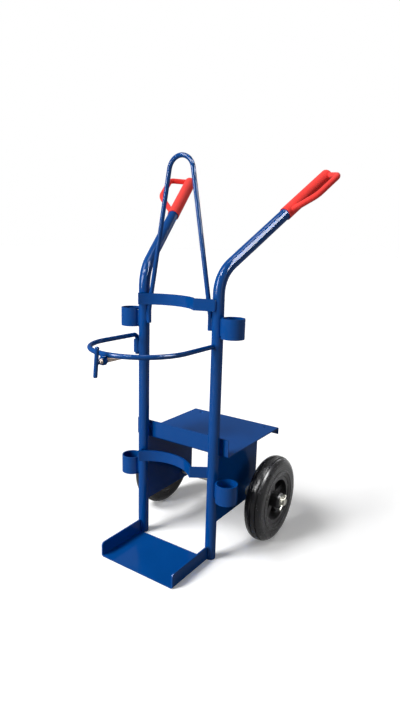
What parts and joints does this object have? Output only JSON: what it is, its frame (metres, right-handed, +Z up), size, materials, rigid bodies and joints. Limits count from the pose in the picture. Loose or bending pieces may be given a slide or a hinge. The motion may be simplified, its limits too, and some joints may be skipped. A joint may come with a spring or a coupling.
{
  "type": "gas cylinder trolley",
  "caption": "Two-wheeled hand trolley of bent steel tube for one gas cylinder, with a swing-open clamp hoop, hose bow, rear shelf, rod holders and guarded grips.",
  "frame": {"origin": "on the floor, in the middle of the trolley's width and length", "axes": "+X along the axle to the right of someone facing the toe plate's front from the camera side, +Y backwards to the grips, +Z up"},
  "size_m": [0.5717, 0.664, 1.064],
  "materials": {
    "blue_paint": "gloss powder coat",
    "red_plastic": "soft satin moulding",
    "tyre_rubber": "moulded, slightly glossy",
    "rim_plastic": "moulded satin",
    "bush_nylon": "plain moulded",
    "zinc_steel": "bright zinc plate",
    "thread_steel": "bare, lightly oiled thread"
  },
  "bodies": {
    "frame": {"left_upright": "blue_paint", "right_upright": "blue_paint", "hose_bow": "blue_paint", "upper_saddle_strap": "blue_paint", "lower_saddle_strap": "blue_paint", "toe_plate": "blue_paint", "shelf": "blue_paint", "left_axle_plate": "blue_paint", "right_axle_plate": "blue_paint", "left_upper_ring": "blue_paint", "right_upper_ring": "blue_paint", "left_lower_cup": "blue_paint", "right_lower_cup": "blue_paint", "left_cup_floor": "blue_paint", "right_cup_floor": "blue_paint", "hoop_pivot_sleeve": "blue_paint", "left_grip": "red_plastic", "right_grip": "red_plastic", "left_axle_spacer": "zinc_steel", "right_axle_spacer": "zinc_steel", "axle": "zinc_steel", "axle_washers": "zinc_steel", "split_pins": "zinc_steel"},
    "left_wheel": {"left_tyre": "tyre_rubber", "left_rim": "rim_plastic", "left_hub_bush": "bush_nylon"},
    "right_wheel": {"right_tyre": "tyre_rubber", "right_rim": "rim_plastic", "right_hub_bush": "bush_nylon"},
    "hoop": {"clamp_hoop": "blue_paint", "clamp_nut": "blue_paint"},
    "clamp_screw": {"clamp_spindle": "thread_steel"},
    "clamp_handle": {"tommy_bar": "blue_paint"}
  },
  "joints": [
    {"name": "left_wheel_spin", "type": "hinge", "parent": "frame", "child": "left_wheel", "pos_m": [-0.199, 0.1555, 0.125], "axis": [1, 0, 0], "continuous": true},
    {"name": "right_wheel_spin", "type": "hinge", "parent": "frame", "child": "right_wheel", "pos_m": [0.199, 0.1555, 0.125], "axis": [1, 0, 0], "continuous": true},
    {"name": "hoop_swing", "type": "hinge", "parent": "frame", "child": "hoop", "pos_m": [-0.1451, -0.0405, 0.564], "axis": [0, 0, -1], "range_deg": [0, 180]},
    {"name": "clamp_feed", "type": "slide", "parent": "hoop", "child": "clamp_screw", "axis": [0, 1, 0], "range_m": [-0.0596, 0.0106]},
    {"name": "clamp_turn", "type": "hinge", "parent": "clamp_screw", "child": "clamp_handle", "pos_m": [-0.02, -0.3247, 0.5809], "axis": [0, 1, 0], "range_deg": [-12240, 2160]}
  ],
  "couplings": [
    {"joint": "clamp_feed", "follows": "clamp_turn", "m_per_rad": 0.00027852}
  ]
}
